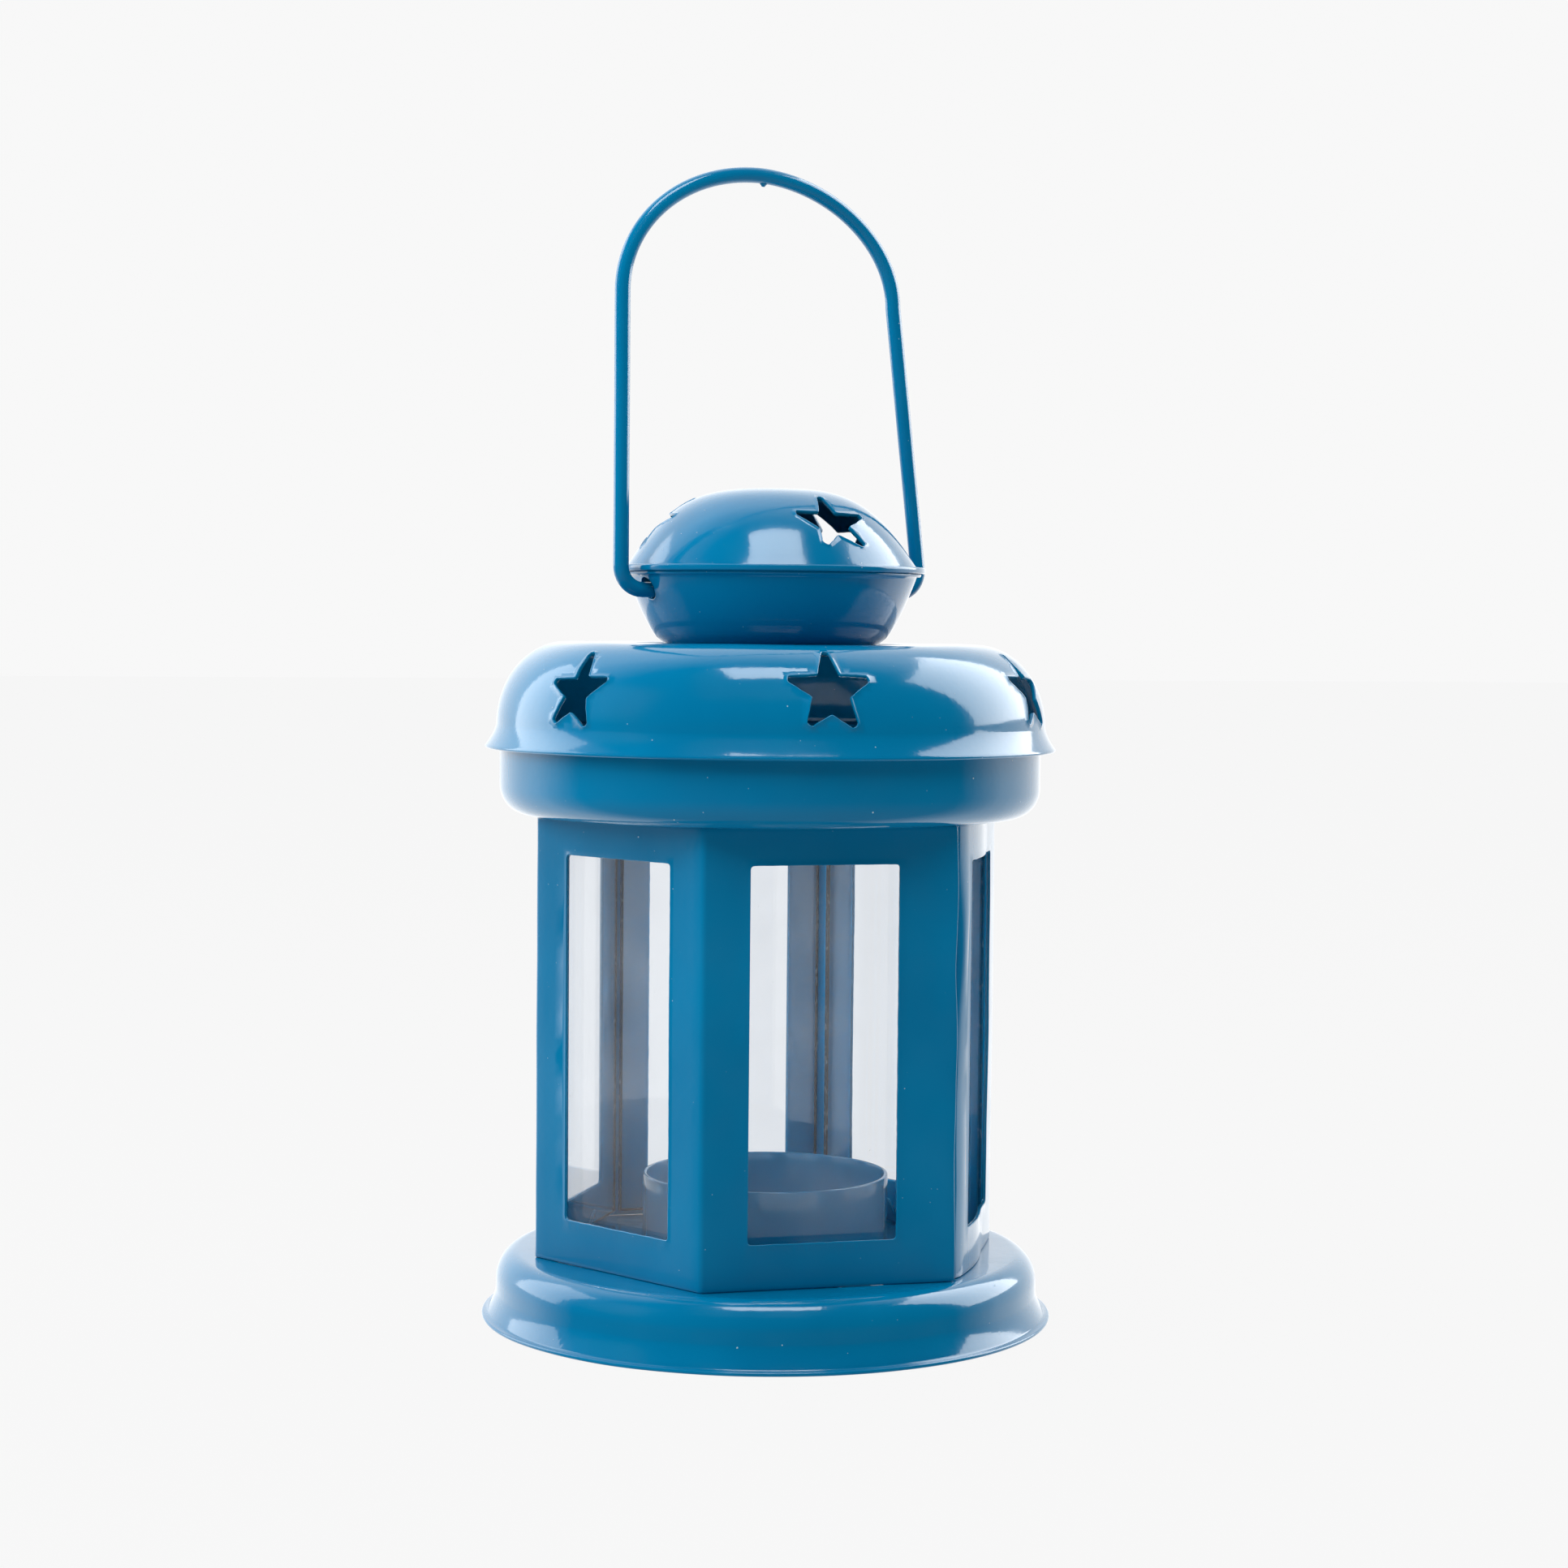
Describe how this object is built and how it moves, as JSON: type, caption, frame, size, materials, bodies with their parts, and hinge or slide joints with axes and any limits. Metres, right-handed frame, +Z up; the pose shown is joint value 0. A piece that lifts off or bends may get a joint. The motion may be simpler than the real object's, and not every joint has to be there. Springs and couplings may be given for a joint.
{
  "type": "tea-light lantern",
  "caption": "Hexagonal glazed tea-light lantern in blue painted sheet steel, with a round base, a pierced round roof, a domed finial and a swinging wire bail.",
  "frame": {"origin": "centre of the base on the surface it stands on", "axes": "+Z up through the finial; one window faces -Y, and the lapped corner is at its right"},
  "size_m": [0.1002, 0.1002, 0.2007],
  "materials": {
    "blue_paint": "glossy powder coat with light orange peel",
    "clear_glass": "clear, faintly blue",
    "plated_steel": "dull zinc plate"
  },
  "bodies": {
    "base": {"base_shell": "blue_paint", "candle_cup": "blue_paint", "cup_rivet": "plated_steel"},
    "lantern_body": {"window_frame": "blue_paint", "glass_pane_1": "clear_glass", "glass_pane_2": "clear_glass", "glass_pane_3": "clear_glass", "glass_pane_4": "clear_glass", "glass_pane_5": "clear_glass", "glass_pane_6": "clear_glass", "roof_collar": "blue_paint", "roof_shell": "blue_paint", "chimney_eyelet": "plated_steel", "finial_bowl": "blue_paint", "finial_dome": "blue_paint"},
    "bail": {"bail_handle": "blue_paint"}
  },
  "joints": [
    {"name": "lift_off", "type": "slide", "parent": "base", "child": "lantern_body", "axis": [0, 0, 1], "range_m": [0, 0.06]},
    {"name": "bail_swing", "type": "hinge", "parent": "lantern_body", "child": "bail", "pos_m": [0, 0, 0.1273], "axis": [0.9659, 0.2588, 0], "range_deg": [-105, 105]}
  ]
}
